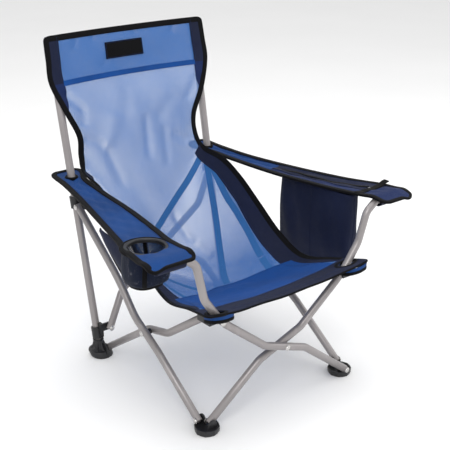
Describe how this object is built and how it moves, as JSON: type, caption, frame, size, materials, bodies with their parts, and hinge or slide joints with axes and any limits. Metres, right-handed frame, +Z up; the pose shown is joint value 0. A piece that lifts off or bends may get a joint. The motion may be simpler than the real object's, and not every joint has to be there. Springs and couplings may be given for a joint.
{
  "type": "folding beach chair",
  "caption": "Low folding chair with a mesh sling seat and back, scissor tube frame, fabric arms, a ring cup holder in one arm and a deep pocket under the other.",
  "frame": {"origin": "centre of the footprint of the open chair, on the floor", "axes": "+Z up, the sitter faces -Y, +X is the sitter's left"},
  "size_m": [0.7478, 0.6659, 0.7923],
  "materials": {
    "coated_steel": "satin warm grey powder coat",
    "rivet_metal": "bright domed rivet",
    "black_plastic": "matte moulded nylon",
    "sling_mesh": "open light blue coated mesh",
    "head_band_fabric": "denser mid blue mesh",
    "arm_fabric": "royal blue woven polyester",
    "navy_fabric": "navy woven polyester",
    "black_binding": "black binding tape and pouch mesh"
  },
  "bodies": {
    "right_side": {"back_panel": "sling_mesh", "foot_rear_right": "black_plastic", "head_band": "head_band_fabric", "head_label": "black_binding", "post_cap_right": "black_plastic", "post_right": "coated_steel", "post_sleeve_right": "navy_fabric", "rivet_rear_foot_right": "rivet_metal"},
    "left_side": {"foot_rear_left": "black_plastic", "post_cap_left": "black_plastic", "post_left": "coated_steel", "post_sleeve_left": "navy_fabric", "rivet_rear_foot_left": "rivet_metal"},
    "side_lower_right": {"rivet_corner_side_right": "rivet_metal", "seat_front": "sling_mesh", "side_tube_lower_right": "coated_steel"},
    "side_upper_right": {"rivet_side_right": "rivet_metal", "seat_rear": "sling_mesh", "side_tube_upper_right": "coated_steel", "spacer_side_right": "black_plastic"},
    "foot_right": {"foot_front_right": "black_plastic", "rivet_front_foot_right": "rivet_metal", "rivet_front_foot_side_right": "rivet_metal"},
    "corner_right": {"corner_bracket_right": "black_plastic", "rivet_corner_front_right": "rivet_metal"},
    "front_arm_right": {"cup_pouch": "black_binding", "cup_ring": "black_binding", "front_tube_right_arm": "coated_steel", "rivet_front_cross": "rivet_metal", "tube_cap_right_arm": "black_plastic"},
    "collar_low_right": {"collar_lower_right": "black_plastic", "rivet_brace_low_right": "rivet_metal"},
    "brace_right": {"rear_brace_right_low": "coated_steel", "rivet_rear_cross": "rivet_metal"},
    "collar_up_right": {"arm_right": "arm_fabric", "collar_upper_right": "black_plastic", "rivet_brace_high_right": "rivet_metal", "rivet_upper_side_right": "rivet_metal"},
    "side_lower_left": {"rivet_corner_side_left": "rivet_metal", "side_tube_lower_left": "coated_steel"},
    "side_upper_left": {"rivet_side_left": "rivet_metal", "side_tube_upper_left": "coated_steel", "spacer_side_left": "black_plastic"},
    "foot_left": {"foot_front_left": "black_plastic", "rivet_front_foot_left": "rivet_metal", "rivet_front_foot_side_left": "rivet_metal"},
    "corner_left": {"corner_bracket_left": "black_plastic", "rivet_corner_front_left": "rivet_metal"},
    "front_arm_left": {"front_tube_left_arm": "coated_steel", "side_pocket": "navy_fabric", "tube_cap_left_arm": "black_plastic"},
    "collar_low_left": {"collar_lower_left": "black_plastic", "rivet_brace_low_left": "rivet_metal"},
    "brace_left": {"rear_brace_left_low": "coated_steel"},
    "collar_up_left": {"arm_left": "arm_fabric", "collar_upper_left": "black_plastic", "rivet_brace_high_left": "rivet_metal", "rivet_upper_side_left": "rivet_metal"}
  },
  "joints": [
    {"name": "fold", "type": "hinge", "parent": "right_side", "child": "side_lower_right", "pos_m": [-0.19, 0.1465, 0.026], "axis": [-1, 0, 0], "range_deg": [0, 46], "deforming": ["head_band", "back_panel", "head_label", "seat_rear", "seat_front", "arm_right", "arm_left", "side_pocket"]},
    {"name": "side_cross_right", "type": "hinge", "parent": "side_lower_right", "child": "side_upper_right", "pos_m": [-0.216, -0.0549, 0.1557], "axis": [1, 0, 0], "range_deg": [0, 69.75]},
    {"name": "front_foot_right", "type": "hinge", "parent": "side_upper_right", "child": "foot_right", "pos_m": [-0.216, -0.2605, 0.022], "axis": [-1, 0, 0], "range_deg": [0, 35.17]},
    {"name": "corner_right", "type": "hinge", "parent": "side_lower_right", "child": "corner_right", "pos_m": [-0.19, -0.2685, 0.28], "axis": [1, 0, 0], "range_deg": [0, 34.63]},
    {"name": "front_tube_right", "type": "hinge", "parent": "corner_right", "child": "front_arm_right", "pos_m": [-0.19, -0.31048, 0.2787], "axis": [0, 0.9995, 0.031], "range_deg": [0, 40.5]},
    {"name": "lower_collar_right", "type": "slide", "parent": "right_side", "child": "collar_low_right", "axis": [-0.0098, 0.1876, 0.9822], "range_m": [0, 0.048]},
    {"name": "rear_brace_right", "type": "hinge", "parent": "collar_low_right", "child": "brace_right", "pos_m": [-0.185, 0.14821, 0.077], "axis": [0, -0.9822, 0.1876], "range_deg": [0, 35.06]},
    {"name": "upper_collar_right", "type": "slide", "parent": "right_side", "child": "collar_up_right", "axis": [-0.0098, 0.1876, 0.9822], "range_m": [0, 0.1989]},
    {"name": "side_spacing", "type": "slide", "parent": "right_side", "child": "left_side", "axis": [-1, 0, 0], "range_m": [0, 0.2617]},
    {"name": "fold_left", "type": "hinge", "parent": "left_side", "child": "side_lower_left", "pos_m": [0.19, 0.1465, 0.026], "axis": [-1, 0, 0], "range_deg": [0, 46.05]},
    {"name": "side_cross_left", "type": "hinge", "parent": "side_lower_left", "child": "side_upper_left", "pos_m": [0.216, -0.0549, 0.1557], "axis": [1, 0, 0], "range_deg": [0, 69.75]},
    {"name": "front_foot_left", "type": "hinge", "parent": "side_upper_left", "child": "foot_left", "pos_m": [0.216, -0.2605, 0.022], "axis": [-1, 0, 0], "range_deg": [0, 35.17]},
    {"name": "corner_left", "type": "hinge", "parent": "side_lower_left", "child": "corner_left", "pos_m": [0.19, -0.2685, 0.28], "axis": [1, 0, 0], "range_deg": [0, 34.63]},
    {"name": "front_tube_left", "type": "hinge", "parent": "corner_left", "child": "front_arm_left", "pos_m": [0.19, -0.29149, 0.27929], "axis": [0, -0.9995, -0.031], "range_deg": [0, 40.5]},
    {"name": "lower_collar_left", "type": "slide", "parent": "left_side", "child": "collar_low_left", "axis": [0.0098, 0.1876, 0.9822], "range_m": [0, 0.048]},
    {"name": "rear_brace_left", "type": "hinge", "parent": "collar_low_left", "child": "brace_left", "pos_m": [0.185, 0.16721, 0.077], "axis": [0, 0.9822, -0.1876], "range_deg": [0, 35.06]},
    {"name": "upper_collar_left", "type": "slide", "parent": "left_side", "child": "collar_up_left", "axis": [0.0098, 0.1876, 0.9822], "range_m": [0, 0.1989]}
  ],
  "couplings": [
    {"joint": "side_cross_right", "follows": "fold", "ratio": 1.5152},
    {"joint": "front_foot_right", "follows": "fold", "ratio": 0.76348},
    {"joint": "corner_right", "follows": "fold", "ratio": 0.75174},
    {"joint": "front_tube_right", "follows": "fold", "ratio": 0.87935},
    {"joint": "lower_collar_right", "follows": "fold", "m_per_rad": 0.059538},
    {"joint": "rear_brace_right", "follows": "fold", "ratio": 0.76109},
    {"joint": "upper_collar_right", "follows": "fold", "m_per_rad": 0.24749},
    {"joint": "side_spacing", "follows": "fold", "m_per_rad": 0.32571},
    {"joint": "fold_left", "follows": "fold", "ratio": 1},
    {"joint": "side_cross_left", "follows": "fold", "ratio": 1.5152},
    {"joint": "front_foot_left", "follows": "fold", "ratio": 0.76348},
    {"joint": "corner_left", "follows": "fold", "ratio": 0.75174},
    {"joint": "front_tube_left", "follows": "fold", "ratio": 0.87935},
    {"joint": "lower_collar_left", "follows": "fold", "m_per_rad": 0.059538},
    {"joint": "rear_brace_left", "follows": "fold", "ratio": 0.76109},
    {"joint": "upper_collar_left", "follows": "fold", "m_per_rad": 0.24749}
  ]
}
